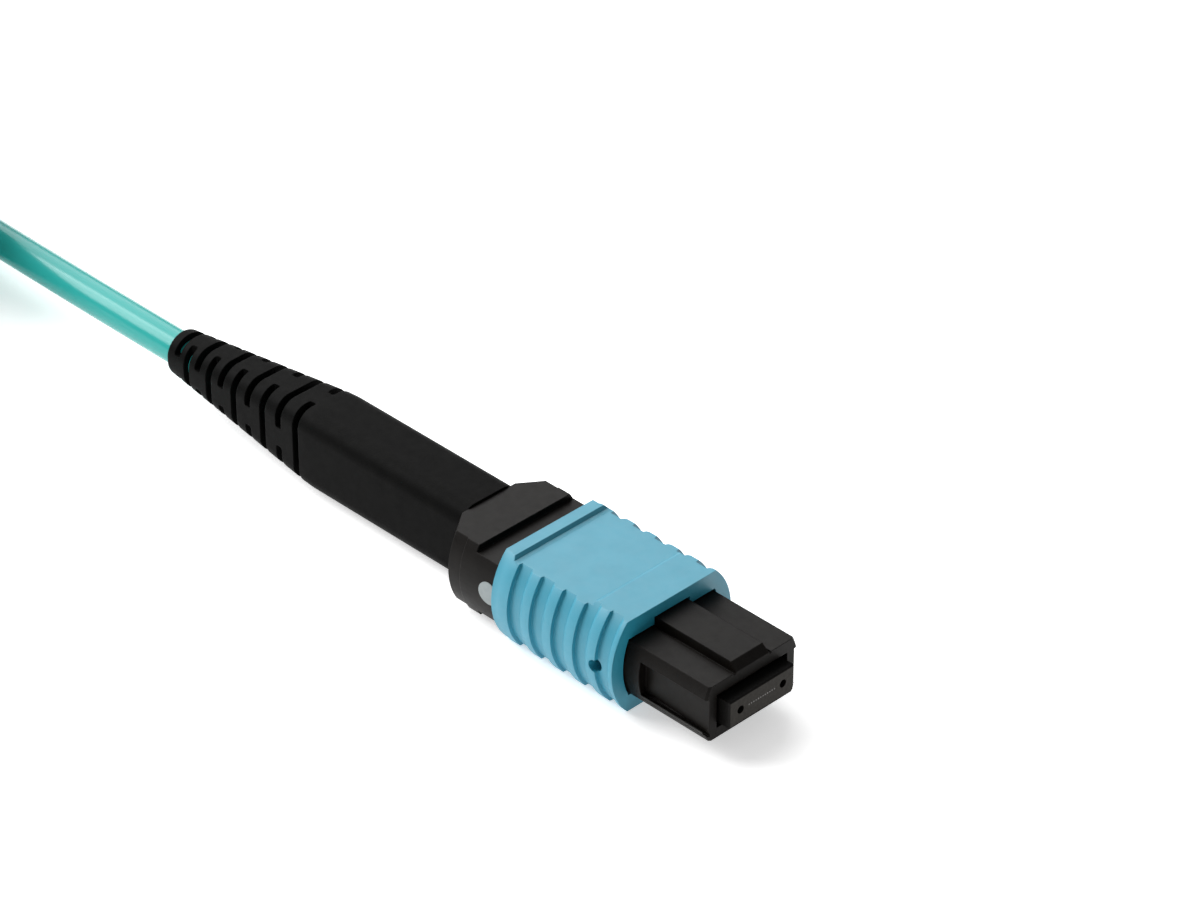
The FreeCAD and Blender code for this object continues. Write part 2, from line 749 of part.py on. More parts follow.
PIECES = {
    "ferrule": make_ferrule,
    "fibre_array": make_fibre_array,
    "window_resin": make_window_resin,
    "ferrule_boot": make_ferrule_boot,
    "pin_keeper": make_pin_keeper,
    "fibre_ribbon": make_fibre_ribbon,
    "ferrule_spring": make_ferrule_spring,
    "inner_housing": make_inner_housing,
    "rear_body": make_rear_body,
    "marker_dot": lambda: dot_plug(dot_proud),
    "coupling_sleeve": make_coupling_sleeve,
    "sleeve_spring_left": lambda: make_side_spring(1),
    "sleeve_spring_right": lambda: make_side_spring(-1),
    "crimp_ring": make_crimp_ring,
    "aramid_yarn": make_aramid_yarn,
    "cord_end": make_cord_end,
    "strain_relief_boot": make_boot,
    "cord": make_cord,
    "cord_hank": make_cord_hank,
    "hank_tie_left": lambda: make_hank_tie(1),
    "hank_tie_right": lambda: make_hank_tie(-1),
}


def main():
    os.makedirs("parts", exist_ok=True)
    for name, make in PIECES.items():
        shape = make()
        solids = shape.Solids
        if not solids or not all(s.isValid() and s.Volume > 0 for s in solids):
            print("CHECK", name, "has a solid that is not valid")
        shape.exportStep(f"parts/{name}.step")
        print(name, len(solids), round(shape.Volume, 3))


main()
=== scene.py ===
import json
import math

import bmesh
import bpy
from mathutils import Matrix, Vector


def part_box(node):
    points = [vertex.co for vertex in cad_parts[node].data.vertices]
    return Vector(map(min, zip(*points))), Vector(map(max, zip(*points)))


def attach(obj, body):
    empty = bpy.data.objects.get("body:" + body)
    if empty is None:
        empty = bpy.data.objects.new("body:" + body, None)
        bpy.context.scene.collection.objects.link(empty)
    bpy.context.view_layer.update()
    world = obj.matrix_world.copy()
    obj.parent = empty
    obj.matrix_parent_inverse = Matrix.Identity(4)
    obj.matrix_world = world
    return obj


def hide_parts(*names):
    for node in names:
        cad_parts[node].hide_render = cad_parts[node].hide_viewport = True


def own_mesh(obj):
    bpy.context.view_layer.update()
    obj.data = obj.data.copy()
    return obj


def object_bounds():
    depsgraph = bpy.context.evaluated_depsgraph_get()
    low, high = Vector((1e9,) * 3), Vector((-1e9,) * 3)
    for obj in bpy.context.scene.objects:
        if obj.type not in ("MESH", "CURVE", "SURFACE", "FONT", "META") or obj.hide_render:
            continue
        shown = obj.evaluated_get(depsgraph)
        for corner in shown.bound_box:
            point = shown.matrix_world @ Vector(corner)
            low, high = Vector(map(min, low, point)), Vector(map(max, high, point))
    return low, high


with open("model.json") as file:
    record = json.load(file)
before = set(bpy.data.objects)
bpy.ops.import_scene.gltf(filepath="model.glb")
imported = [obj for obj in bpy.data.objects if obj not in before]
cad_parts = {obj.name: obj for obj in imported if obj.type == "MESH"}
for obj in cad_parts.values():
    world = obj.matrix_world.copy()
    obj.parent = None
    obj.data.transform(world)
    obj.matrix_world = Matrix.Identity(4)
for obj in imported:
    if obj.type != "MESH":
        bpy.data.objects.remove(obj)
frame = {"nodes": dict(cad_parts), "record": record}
CAD_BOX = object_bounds()

# Metres, in the CAD's frame: +X is the mating direction, +Z is up on the key side, and the
# origin is the centre of the ferrule's end face.
MM = 0.001
scene = bpy.context.scene

# --- camera and studio ---------------------------------------------------------------
AZIMUTH = math.radians(45.348)
ELEVATION = math.radians(34.411)
CAMERA_PLACE = Vector((199.496, -214.251, 222.886)) * MM
CAMERA_NEAR = 10 * MM           # nothing nearer than this is drawn
LENS = 146.1                    # in Blender's millimetres, as the sensor's width is
SENSOR = 36.0
LIGHT_TARGET = Vector((-30 * MM, 0, 0))
SKY_STRENGTH = 0.30
FLOOR_HALF_SIZE = 3.0
FLOOR_GLOW = 0.50               # lightens the soft shadow

# --- the cord: the CAD's cord and hank -----------------------------------------------
CORD_RADIUS = 1.5 * MM
CORD_EXIT = Vector((-66.3, 0, 0)) * MM
CORD_ROUTE = [
    CORD_EXIT,
    Vector((-93.0, 0, 0)) * MM,
    Vector((-106.0, 3.0, -2.2)) * MM,
    Vector((-112.0, 3.0, -2.2)) * MM,
]
HANK_LAYERS = 4
HANK_COLUMNS = 2
HANK_CENTRE_Y = -9.0 * MM
HANK_NEAR_X = -104.5 * MM       # centre of the half-round end nearer the connector
HANK_STRAIGHT = 27.0 * MM
HANK_INNER_RADIUS = 9.0 * MM    # centre line of the innermost lap
HANK_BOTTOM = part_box("cord_hank")[0].z
TURN_POINTS = 6                 # steps between control points round each half-round end

# --- springs -------------------------------------------------------------------------
SIDE_SPRING_WIRE = 0.1 * MM
SIDE_SPRING_TURNS = 9
FERRULE_SPRING_WIRE = 0.22 * MM
FERRULE_SPRING_TURNS = 7
SPRING_TURN_POINTS = 24
WIRE_SIDES = 10

# --- boot ----------------------------------------------------------------------------
BOOT_HALF_WIDTH = 3.1 * MM
BOOT_HALF_HEIGHT = 3.65 * MM
BOOT_CORNER = 1.6 * MM
BOOT_WAIST_X = -48.9 * MM       # the grip ends and the taper begins
BOOT_WAIST_BLEND = 1.2 * MM     # the grip starts to ease into the taper this far before
BOOT_TAIL_HALF_WIDTH = 1.9 * MM
BOOT_TAIL_HALF_HEIGHT = 2.1 * MM
BOOT_RIM = 0.35 * MM            # rounding of the tail's rim
BOOT_RIM_SHARES = (0.4, 0.75, 1.0)  # of that rounding's length, where its rings stand
BOOT_WALL_GAP = 0.05 * MM       # round the cord and the crimp ring
CRIMP_RING_REAR = -36.9 * MM
CRIMP_TAIL_REAR = -37.6 * MM
CORNER_POINTS = 12
SLOT_FIRST_X = -49.4 * MM       # middle of the slots furthest from the tail
SLOT_TAIL_GAP = 1.35 * MM       # from the last slot's middle to the tail
SLOT_SHRINK = 0.94              # each step is this much shorter than the one before
SLOT_COUNT = 10
SLOT_WIDTH = 0.75 * MM
SLOT_BRIDGE = 0.9 * MM          # half width of the web that a slot leaves
SLOT_END_RADIUS = 0.22 * MM
SLOT_END_POINTS = 5

# --- copied and cut meshes -----------------------------------------------------------
CUTTER_REACH = 1 * MM           # how far a cutter stands out of what it cuts
CUTTER_LAP = 0.01 * MM          # keeps a cutter's face off the face that it would meet
EDGE_SPARE = 0.1 * MM           # how far a cutter runs past an edge that it crosses
ARC_POINTS = 25
MERGE = 0.0005 * MM             # points nearer than this are one
SHARP_ANGLE = math.radians(38)

# --- sleeve and collar ---------------------------------------------------------------
SLEEVE_HALF_FLAT = 4.8 * MM
RIDGE_COUNT = 5
RIDGE_PITCH = 2.4 * MM
RIDGE_FIRST_X = -21.05 * MM     # rearmost step
RIDGE_DEPTH = 0.33 * MM
RIDGE_PROUD = RIDGE_DEPTH / 4   # a side's cutters start and end this far outside it
STEP_RUN = 0.05 * MM
VALLEY_RUN = 1.2 * MM           # this and the next are measured from the step
RAMP_END = 1.34 * MM
CHAMFER_RUN = 0.22 * MM         # breaks the sharp edge at the top of the ramp
CHAMFER_DEPTH = 0.11 * MM
CHAMFER_LEAD = 0.2 * MM         # the panel's cutter starts this far behind its edge
PANEL_FRONT_X = -13.3 * MM
REAR_RELIEF_X = -22.25 * MM     # the relief behind the rearmost ridge ends here
RIM_STEP_X = -21.7 * MM         # upright step between the rear rim and the top panel
RIM_STEP_RUN = 0.08 * MM
RIM_STEP_DEPTH = 0.3 * MM
PANEL_DEPTH = 0.36 * MM
PANEL_START_X = -21.2 * MM
COLLAR_REAR_X = -29.8 * MM
COLLAR_HALF_FLAT = 4.9 * MM
COLLAR_BULGE = 5.9 * MM
COLLAR_TOP = 3.45 * MM
COLLAR_BOTTOM = -3.25 * MM
COLLAR_SEAM_X = -27.0 * MM
COLLAR_SEAM_STEP = 0.08 * MM
COLLAR_SEAM_RISE = 0.2 * MM     # behind the seam the underside is higher

# --- housing -------------------------------------------------------------------------
RECESS_REAR_X = -8.0 * MM
RECESS_BOTTOM = -1.6 * MM
LIP_GROOVE_INNER_Y = 4.52 * MM  # groove in the ledge under each latch recess
LIP_GROOVE_OUTER_Y = 4.77 * MM
LIP_GROOVE_DEPTH = 0.35 * MM
LIP_NOTCH_X = -1.5 * MM         # the ledge's outer lip is lower from here to the front
LIP_NOTCH_DEPTH = 0.25 * MM

# --- ferrule -------------------------------------------------------------------------
POLISH_START_X = -0.03 * MM     # the sides' dark colour turns into the end face's
POLISH_END_X = -0.005 * MM      # paler one between these


# --- materials -----------------------------------------------------------------------
class Finish:
    """A Principled material with helpers for the nodes that feed it."""

    def __init__(self, name, roughness, **fixed):
        self.slot = name
        self.material = bpy.data.materials.new(name)
        self.material.use_nodes = True
        self.tree = self.material.node_tree
        self.shader = self.tree.nodes["Principled BSDF"]
        self.shader.inputs["Roughness"].default_value = roughness
        for socket, value in fixed.items():
            self.shader.inputs[socket.replace("_", " ")].default_value = value
        self.place = self.node("ShaderNodeTexCoord").outputs["Object"]

    def node(self, kind, **settings):
        """Adds a node and sets its properties."""
        made = self.tree.nodes.new(kind)
        for name, value in settings.items():
            setattr(made, name, value)
        return made

    def link(self, source, target):
        self.tree.links.new(source, target)

    def noise(self, scale, detail=3.0, stretch=(1, 1, 1)):
        """A noise value that is fixed to the object's own coordinates."""
        mapping = self.node("ShaderNodeMapping")
        mapping.inputs["Scale"].default_value = stretch
        self.link(self.place, mapping.inputs["Vector"])
        noise = self.node("ShaderNodeTexNoise")
        noise.inputs["Scale"].default_value = scale
        noise.inputs["Detail"].default_value = detail
        self.link(mapping.outputs["Vector"], noise.inputs["Vector"])
        return noise.outputs["Fac"]

    def ramp(self, source, low, high, start=0.35, end=0.65):
        """A colour between two, by that value."""
        ramp = self.node("ShaderNodeValToRGB")
        first, last = ramp.color_ramp.elements
        first.position, last.position = start, end
        first.color, last.color = (*low, 1), (*high, 1)
        self.link(source, ramp.inputs["Fac"])
        return ramp.outputs["Color"]

    def colour(self, low, high, scale, **noise):
        """Makes the base colour vary between two near ones."""
        self.link(self.ramp(self.noise(scale, **noise), low, high),
                  self.shader.inputs["Base Color"])
        return self

    def polished_end(self, side, low, high):
        """Dark moulded sides, and a paler end face that polishing has dulled."""
        x = self.node("ShaderNodeSeparateXYZ")
        self.link(self.place, x.inputs["Vector"])
        step = self.node("ShaderNodeMapRange")
        step.inputs["From Min"].default_value = POLISH_START_X
        step.inputs["From Max"].default_value = POLISH_END_X
        self.link(x.outputs["X"], step.inputs["Value"])
        mix = self.node("ShaderNodeMix", data_type="RGBA")
        mix.inputs["A"].default_value = (*side, 1)
        self.link(step.outputs["Result"], mix.inputs["Factor"])
        self.link(self.ramp(self.noise(3500), low, high), mix.inputs["B"])
        self.link(mix.outputs["Result"], self.shader.inputs["Base Color"])

    def rough(self, low, high, scale):
        """Makes the roughness vary between two values."""
        span = self.node("ShaderNodeMapRange")
        span.inputs["To Min"].default_value = low
        span.inputs["To Max"].default_value = high
        self.link(self.noise(scale), span.inputs["Value"])
        self.link(span.outputs["Result"], self.shader.inputs["Roughness"])
        return self

    def grain(self, scale, height, edge=0.0, **noise):
        """A fine bump of that height, over edges that look rounded by that radius."""
        bump = self.node("ShaderNodeBump")
        bump.inputs["Strength"].default_value = 1.0
        bump.inputs["Distance"].default_value = height
        self.link(self.noise(scale, **noise), bump.inputs["Height"])
        if edge:
            bevel = self.node("ShaderNodeBevel", samples=6)
            bevel.inputs["Radius"].default_value = edge
            self.link(bevel.outputs["Normal"], bump.inputs["Normal"])
        self.link(bump.outputs["Normal"], self.shader.inputs["Normal"])
        return self


def make_finishes():
    """One finish for each material slot of the record."""
    black = Finish("housing_black", 0.45, Specular_IOR_Level=0.105)
    black.colour((0.0030, 0.0022, 0.0016), (0.0046, 0.0036, 0.0027), 900)
    black.rough(0.38, 0.52, 1500).grain(9000, 0.004 * MM, edge=0.10 * MM)
    sleeve = Finish("sleeve_aqua", 0.48, IOR=1.6, Specular_IOR_Level=0.62)
    sleeve.colour((0.010, 0.238, 0.342), (0.014, 0.254, 0.364), 500)
    sleeve.rough(0.42, 0.54, 1400).grain(8000, 0.003 * MM, edge=0.05 * MM)
    rubber = Finish("boot_rubber", 0.55, Specular_IOR_Level=0.036)
    rubber.colour((0.0014, 0.0014, 0.0013), (0.0024, 0.0024, 0.0022), 700)
    rubber.rough(0.48, 0.62, 1800).grain(7000, 0.005 * MM, edge=0.14 * MM)
    grey = Finish("ferrule_grey", 0.50, Specular_IOR_Level=0.10)
    grey.polished_end((0.0035, 0.0032, 0.0028), (0.021, 0.0185, 0.0155), (0.029, 0.026, 0.022))
    grey.rough(0.42, 0.58, 3000).grain(14000, 0.003 * MM, edge=0.04 * MM)
    glass = Finish("fibre_glass", 0.15, Coat_Weight=0.4)
    glass.colour((0.09, 0.085, 0.08), (0.14, 0.135, 0.13), 6000).grain(9000, 0.0005 * MM)
    resin = Finish("resin", 0.3, Coat_Weight=0.3)
    resin.colour((0.16, 0.10, 0.04), (0.24, 0.15, 0.06), 1800).grain(3000, 0.002 * MM)
    silicone = Finish("silicone", 0.6)
    silicone.colour((0.02, 0.02, 0.02), (0.035, 0.035, 0.035), 2000).grain(6000, 0.003 * MM)
    steel = Finish("spring_steel", 0.28, Metallic=1.0)
    steel.colour((0.45, 0.44, 0.42), (0.60, 0.59, 0.57), 4000, stretch=(1, 6, 6))
    steel.rough(0.22, 0.36, 5000).grain(12000, 0.001 * MM)
    clamp = Finish("clamp_steel", 0.35, Metallic=1.0)
    clamp.colour((0.40, 0.39, 0.37), (0.52, 0.51, 0.49), 2500, stretch=(6, 1, 1))
    clamp.rough(0.28, 0.42, 4000).grain(9000, 0.001 * MM, edge=0.05 * MM)
    crimp = Finish("crimp_metal", 0.32, Metallic=1.0)
    crimp.colour((0.55, 0.47, 0.34), (0.66, 0.57, 0.42), 1200, stretch=(8, 1, 1))
    crimp.rough(0.26, 0.40, 3000).grain(7000, 0.002 * MM)
    yarn = Finish("yarn", 0.7)
    yarn.colour((0.62, 0.45, 0.10), (0.80, 0.62, 0.20), 3500, stretch=(0.1, 1, 1))
    yarn.grain(5000, 0.02 * MM, stretch=(0.08, 1, 1))
    ribbon = Finish("ribbon", 0.45)
    ribbon.colour((0.35, 0.42, 0.45), (0.50, 0.58, 0.60), 3000, stretch=(0.05, 1, 1))
    ribbon.grain(5000, 0.004 * MM, stretch=(0.05, 1, 1))
    dot = Finish("dot_white", 0.45).colour((0.22, 0.255, 0.26), (0.265, 0.30, 0.305), 1500)
    dot.rough(0.38, 0.52, 2500).grain(6000, 0.003 * MM, edge=0.03 * MM)
    jacket = Finish("cord_jacket", 0.22, Specular_IOR_Level=0.30)
    jacket.colour((0.022, 0.325, 0.298), (0.027, 0.345, 0.318), 260, stretch=(0.15, 1, 1))
    jacket.rough(0.20, 0.24, 300).grain(1800, 0.0002 * MM, stretch=(0.1, 1, 1))
    tie = Finish("tie_black", 0.6).colour((0.010, 0.010, 0.010), (0.022, 0.022, 0.022), 2500)
    tie.grain(5000, 0.02 * MM, edge=0.06 * MM)
    made = (black, sleeve, rubber, grey, glass, resin, silicone, steel, clamp, crimp, yarn,
            ribbon, dot, jacket, tie)
    return {finish.slot: finish.material for finish in made}


def dress(obj, material):
    """Gives an object that one material."""
    obj.data.materials.clear()
    obj.data.materials.append(material)


def dress_cad_nodes(finishes):
    """Every CAD node gets the finish of the slot that the record gives it."""
    slots = {part["node"]: part["material_slot"] for part in frame["record"]["subparts"]}
    for name, obj in frame["nodes"].items():
        dress(obj, finishes[slots[name]])


# --- the cord and its hank -----------------------------------------------------------
def hank_lap(layer, column):
    """One lap of the hank: round its far end from +Y to -Y, then round its near end back.

    The spline cuts the corners of its control points, so those within a bend lie further out.
    """
    radius = HANK_INNER_RADIUS + 2 * CORD_RADIUS * column
    height = HANK_BOTTOM + CORD_RADIUS * (2 * layer + 1)
    bend_radius = radius / math.cos(math.pi / (2 * TURN_POINTS))
    ends = ((HANK_NEAR_X - HANK_STRAIGHT, math.pi / 2), (HANK_NEAR_X, -math.pi / 2))
    points = []
    for end_x, first in ends:
        for n in range(TURN_POINTS + 1):
            angle = first + math.pi * n / TURN_POINTS
            reach = radius if n in (0, TURN_POINTS) else bend_radius
            points.append(Vector((end_x + reach * math.cos(angle),
                                  HANK_CENTRE_Y + reach * math.sin(angle), height)))
    return points


def make_cord(finish):
    """The free cord on one smooth line, straight out of the boot and then wound into its hank."""
    points = list(CORD_ROUTE)
    for layer in range(HANK_LAYERS):
        columns = range(HANK_COLUMNS)
        order = reversed(columns) if layer % 2 == 0 else columns
        for column in order:
            points += hank_lap(layer, column)
    curve = bpy.data.curves.new("cord_line", "CURVE")
    curve.dimensions = "3D"
    curve.bevel_depth = CORD_RADIUS
    curve.bevel_resolution = 6
    curve.resolution_u = 8
    curve.use_fill_caps = True
    spline = curve.splines.new("NURBS")
    spline.points.add(len(points) - 1)
    for control, point in zip(spline.points, points):
        control.co = (*point, 1)
    spline.order_u = 3
    spline.use_endpoint_u = True
    curve.materials.append(finish)
    cord = bpy.data.objects.new("cord_line", curve)
    scene.collection.objects.link(cord)
    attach(cord, "housing")
    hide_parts("cord", "cord_hank")


# --- copied and cut meshes -----------------------------------------------------------
def outward(mesh):
    """Turns every face of a closed mesh outward."""
    work = bmesh.new()
    work.from_mesh(mesh)
    bmesh.ops.recalc_face_normals(work, faces=work.faces)
    work.to_mesh(mesh)
    work.free()
    return mesh


def cut_mesh(name, mesh, cutters):
    """A new object with that mesh less the cutters, smooth except at its sharp edges."""
    piece = bpy.data.objects.new(name, outward(mesh))
    scene.collection.objects.link(piece)
    for cutter in cutters:
        tool = bpy.data.objects.new("cutter", outward(cutter))
        scene.collection.objects.link(tool)
        cut = piece.modifiers.new("cut", "BOOLEAN")
        cut.object = tool
        cut.solver = "EXACT"
        bpy.context.view_layer.update()
        graph = bpy.context.evaluated_depsgraph_get()
        result = bpy.data.meshes.new_from_object(piece.evaluated_get(graph))
        piece.modifiers.clear()
        piece.data = result
        bpy.data.objects.remove(tool)
    piece.data.polygons.foreach_set("use_smooth", [True] * len(piece.data.polygons))
    piece.data.set_sharp_from_angle(angle=SHARP_ANGLE)
    return piece


def copied_mesh(node):
    """A CAD node's faces as a new mesh, with its doubled points merged and plain normals."""
    source = frame["nodes"][node].data
    mesh = bpy.data.meshes.new(node)
    mesh.from_pydata([vertex.co for vertex in source.vertices], [],
                     [tuple(face.vertices) for face in source.polygons])
    work = bmesh.new()
    work.from_mesh(mesh)
    bmesh.ops.remove_doubles(work, verts=work.verts, dist=MERGE)
    work.to_mesh(mesh)
    work.free()
    return mesh


def capped_loft(rings):
    """Quads between neighbouring rings, with the two ends closed."""
    size = len(rings[0])
    faces = [list(range(size)), [(len(rings) - 1) * size + m for m in reversed(range(size))]]
    for n in range(len(rings) - 1):
        for m in range(size):
            k = (m + 1) % size
            faces.append([n * size + m, n * size + k, (n + 1) * size + k, (n + 1) * size + m])
    mesh = bpy.data.meshes.new("cutter")
    mesh.from_pydata([point for ring in rings for point in ring], [], faces)
    return mesh


# --- boot ----------------------------------------------------------------------------
def rounded_ring(x, half_width, half_height, corner):
    """A rounded rectangle across X, with the same number of points whatever its size."""
    points = []
    for quarter in range(4):
        turn = math.pi / 2 * quarter
        side_y = 1 if quarter in (0, 3) else -1
        side_z = 1 if quarter in (0, 1) else -1
        for n in range(CORNER_POINTS):
            angle = turn + math.pi / 2 * n / (CORNER_POINTS - 1)
            points.append(Vector((x, side_y * (half_width - corner) + corner * math.cos(angle),
                                  side_z * (half_height - corner) + corner * math.sin(angle))))
    return points


def closed_skin(name, rings):
    """Quads between neighbouring rings, and between the last ring and the first."""
    size = len(rings[0])
    faces = []
    for n in range(len(rings)):
        ahead = (n + 1) % len(rings)
        for m in range(size):
            following = (m + 1) % size
            faces.append((n * size + m, n * size + following,
                          ahead * size + following, ahead * size + m))
    mesh = bpy.data.meshes.new(name)
    mesh.from_pydata([point for ring in rings for point in ring], [], faces)
    return mesh


def slot_stations(tail_x):
    """The slots' middles: steps that shrink toward the tail and end a set length before it."""
    run = SLOT_FIRST_X - (tail_x + SLOT_TAIL_GAP)
    step = run / sum(SLOT_SHRINK ** n for n in range(SLOT_COUNT - 1))
    x, found = SLOT_FIRST_X, []
    for _ in range(SLOT_COUNT):
        found.append(x)
        x -= step
        step *= SLOT_SHRINK
    return found


def slot_cutter(tail_x):
    """Pairs of round-ended prisms, in turn from the two sides and from above and below."""
    far = BOOT_HALF_HEIGHT + CUTTER_REACH
    half = SLOT_WIDTH / 2
    corners = ((-half + SLOT_END_RADIUS, math.pi), (half - SLOT_END_RADIUS, 1.5 * math.pi))
    outline = [(half, far), (-half, far)]
    for along, start in corners:
        for n in range(SLOT_END_POINTS):
            angle = start + math.pi / 2 * n / (SLOT_END_POINTS - 1)
            outline.append((along + SLOT_END_RADIUS * math.cos(angle),
                            SLOT_BRIDGE + SLOT_END_RADIUS + SLOT_END_RADIUS * math.sin(angle)))
    count = len(outline)
    vertices, faces = [], []
    for number, x in enumerate(slot_stations(tail_x)):
        for side in (1, -1):
            base = len(vertices)
            for across in (-far, far):
                for along, out in outline:
                    place = (side * out, across) if number % 2 == 0 else (across, side * out)
                    vertices.append((x + along, *place))
            faces.append([base + n for n in range(count)])
            faces.append([base + count + n for n in reversed(range(count))])
            for n in range(count):
                m = (n + 1) % count
                faces.append([base + m, base + n, base + count + n, base + count + m])
    mesh = bpy.data.meshes.new("slot_cutter")
    mesh.from_pydata(vertices, [], faces)
    return mesh


def make_boot(finish):
    """The rubber boot: a grip taller than it is wide, a taper to the round tail, and its slots."""
    low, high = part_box("strain_relief_boot")
    front, tail = high.x, low.x
    rim_x = tail + BOOT_RIM
    fall = BOOT_HALF_HEIGHT - BOOT_TAIL_HALF_HEIGHT
    ease = BOOT_WAIST_BLEND * fall / (BOOT_WAIST_X - rim_x) / 2
    outer = [(front, BOOT_HALF_WIDTH, BOOT_HALF_HEIGHT, BOOT_CORNER),
             (BOOT_WAIST_X + BOOT_WAIST_BLEND, BOOT_HALF_WIDTH, BOOT_HALF_HEIGHT, BOOT_CORNER),
             (BOOT_WAIST_X, BOOT_HALF_WIDTH - ease, BOOT_HALF_HEIGHT - ease, BOOT_CORNER),
             (rim_x, BOOT_TAIL_HALF_WIDTH, BOOT_TAIL_HALF_HEIGHT, BOOT_TAIL_HALF_WIDTH)]
    rings = [rounded_ring(*section) for section in outer]
    for share in BOOT_RIM_SHARES:
        inset = BOOT_RIM * (1 - math.sqrt(1 - share ** 2)) / 2
        rings.append(rounded_ring(rim_x - BOOT_RIM * share, BOOT_TAIL_HALF_WIDTH - inset,
                                  BOOT_TAIL_HALF_HEIGHT - inset, BOOT_TAIL_HALF_WIDTH - inset))
    ring_low, ring_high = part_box("crimp_ring")
    bore = CORD_RADIUS + BOOT_WALL_GAP
    socket = (ring_high.z - ring_low.z) / 2 + BOOT_WALL_GAP
    for x, radius in ((tail, bore), (CRIMP_TAIL_REAR, bore), (CRIMP_RING_REAR, socket),
                      (front, socket)):
        rings.append(rounded_ring(x, radius, radius, radius))
    boot = cut_mesh("boot_rubber", closed_skin("boot_rubber", rings), [slot_cutter(tail)])
    dress(boot, finish)
    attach(boot, "housing")
    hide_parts("strain_relief_boot")


# --- sleeve and collar ---------------------------------------------------------------
def bulging_side(half_flat, bulge, half_height, reach):
    """Points (y, z) up a bulging side, from -reach to +reach."""
    sag = bulge - half_flat
    radius = (half_height ** 2 + sag ** 2) / (2 * sag)
    end = math.asin(reach / radius)
    turns = [-end + 2 * end * n / (ARC_POINTS - 1) for n in range(ARC_POINTS)]
    return [(bulge - radius + radius * math.cos(turn), radius * math.sin(turn)) for turn in turns]


def side_cutter(stations, side, low, high):
    """Everything outside one bulging side, at a level that each station gives."""
    half_height = (high.z - low.z) / 2
    middle = (high.z + low.z) / 2
    reach = half_height + EDGE_SPARE
    far = high.y + CUTTER_REACH
    rings = []
    for x, level in stations:
        arc = bulging_side(SLEEVE_HALF_FLAT + level, high.y + level, half_height, reach)
        outline = arc + [(far, reach), (far, -reach)]
        rings.append([Vector((x, side * y, middle + z)) for y, z in outline])
    return capped_loft(rings)


def chamfer_length():
    """How far along X a broken edge's cutter runs before it is proud of the side."""
    return CHAMFER_RUN * (1 + RIDGE_PROUD / CHAMFER_DEPTH)


def ridge_stations(step_x):
    """One valley: an upright step, a flat and a short ramp with its edge broken."""
    return [(step_x, RIDGE_PROUD),
            (step_x + STEP_RUN, -RIDGE_DEPTH),
            (step_x + VALLEY_RUN, -RIDGE_DEPTH),
            (step_x + RAMP_END, -CHAMFER_DEPTH),
            (step_x + RAMP_END + chamfer_length(), RIDGE_PROUD)]


def rear_stations(rear_x):
    """The shallow relief behind the rearmost ridge."""
    return [(rear_x - CHAMFER_RUN, -CHAMFER_DEPTH),
            (REAR_RELIEF_X, -CHAMFER_DEPTH),
            (REAR_RELIEF_X + chamfer_length(), RIDGE_PROUD)]


def rim_outline():
    """The upright step (x, rise) from the rear rim down to the sunk panel on a broad face."""
    return [(RIM_STEP_X, CUTTER_REACH),
            (RIM_STEP_X, 0),
            (RIM_STEP_X + RIM_STEP_RUN, -RIM_STEP_DEPTH),
            (PANEL_START_X, -PANEL_DEPTH),
            (PANEL_START_X, CUTTER_REACH)]


def panel_edge_outline():
    """The broken edge (x, rise) at the front of the panel on a broad face."""
    return [(PANEL_FRONT_X - CHAMFER_LEAD, CUTTER_REACH),
            (PANEL_FRONT_X - CHAMFER_LEAD, -CHAMFER_DEPTH),
            (PANEL_FRONT_X, -CHAMFER_DEPTH),
            (PANEL_FRONT_X + 2 * CHAMFER_RUN, CHAMFER_DEPTH),
            (PANEL_FRONT_X + 2 * CHAMFER_RUN, CUTTER_REACH)]


def broad_cutter(outline, level, outward_z, half_width):
    """A cutter right across a broad face at that level."""
    return capped_loft([[Vector((x, y, level + outward_z * rise)) for x, rise in outline]
                        for y in (-half_width, half_width)])


def make_sleeve(finish):
    """The sleeve, with upright ridge steps, broken edges and a crisp rear rim."""
    low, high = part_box("coupling_sleeve")
    wide = high.y + CUTTER_REACH
    cutters = [broad_cutter(outline, level, outward_z, wide)
               for outline in (panel_edge_outline(), rim_outline())
               for level, outward_z in ((high.z, 1), (low.z, -1))]
    for side in (1, -1):
        cutters.append(side_cutter(rear_stations(low.x), side, low, high))
        for n in range(RIDGE_COUNT):
            cutters.append(side_cutter(ridge_stations(RIDGE_FIRST_X + n * RIDGE_PITCH),
                                       side, low, high))
    sleeve = cut_mesh("sleeve_shell", copied_mesh("coupling_sleeve"), cutters)
    dress(sleeve, finish)
    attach(sleeve, "sleeve")
    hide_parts("coupling_sleeve")


def seam_cutter():
    """A band round the collar's sides and underside, from its seam to its rear."""
    middle = (COLLAR_TOP + COLLAR_BOTTOM) / 2
    half_height = (COLLAR_TOP - COLLAR_BOTTOM) / 2
    arc = bulging_side(COLLAR_HALF_FLAT - COLLAR_SEAM_STEP, COLLAR_BULGE - COLLAR_SEAM_STEP,
                       half_height, half_height + EDGE_SPARE)
    floor = COLLAR_BOTTOM + COLLAR_SEAM_RISE
    inner = [(y, max(middle + z, floor)) for y, z in reversed(arc)]
    inner += [(-y, z) for y, z in reversed(inner)]
    far_y = COLLAR_BULGE + CUTTER_REACH
    low = COLLAR_BOTTOM - CUTTER_REACH
    high = inner[0][1]
    outline = inner + [(-far_y, high), (-far_y, low), (far_y, low), (far_y, high)]
    return capped_loft([[Vector((x, y, z)) for y, z in outline]
                        for x in (COLLAR_REAR_X - CUTTER_LAP, COLLAR_SEAM_X)])


def make_collar(finish):
    """The collar, neck and crimp post, with the seam round the collar."""
    collar = cut_mesh("collar_body", copied_mesh("rear_body"), [seam_cutter()])
    dress(collar, finish)
    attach(collar, "housing")
    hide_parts("rear_body")


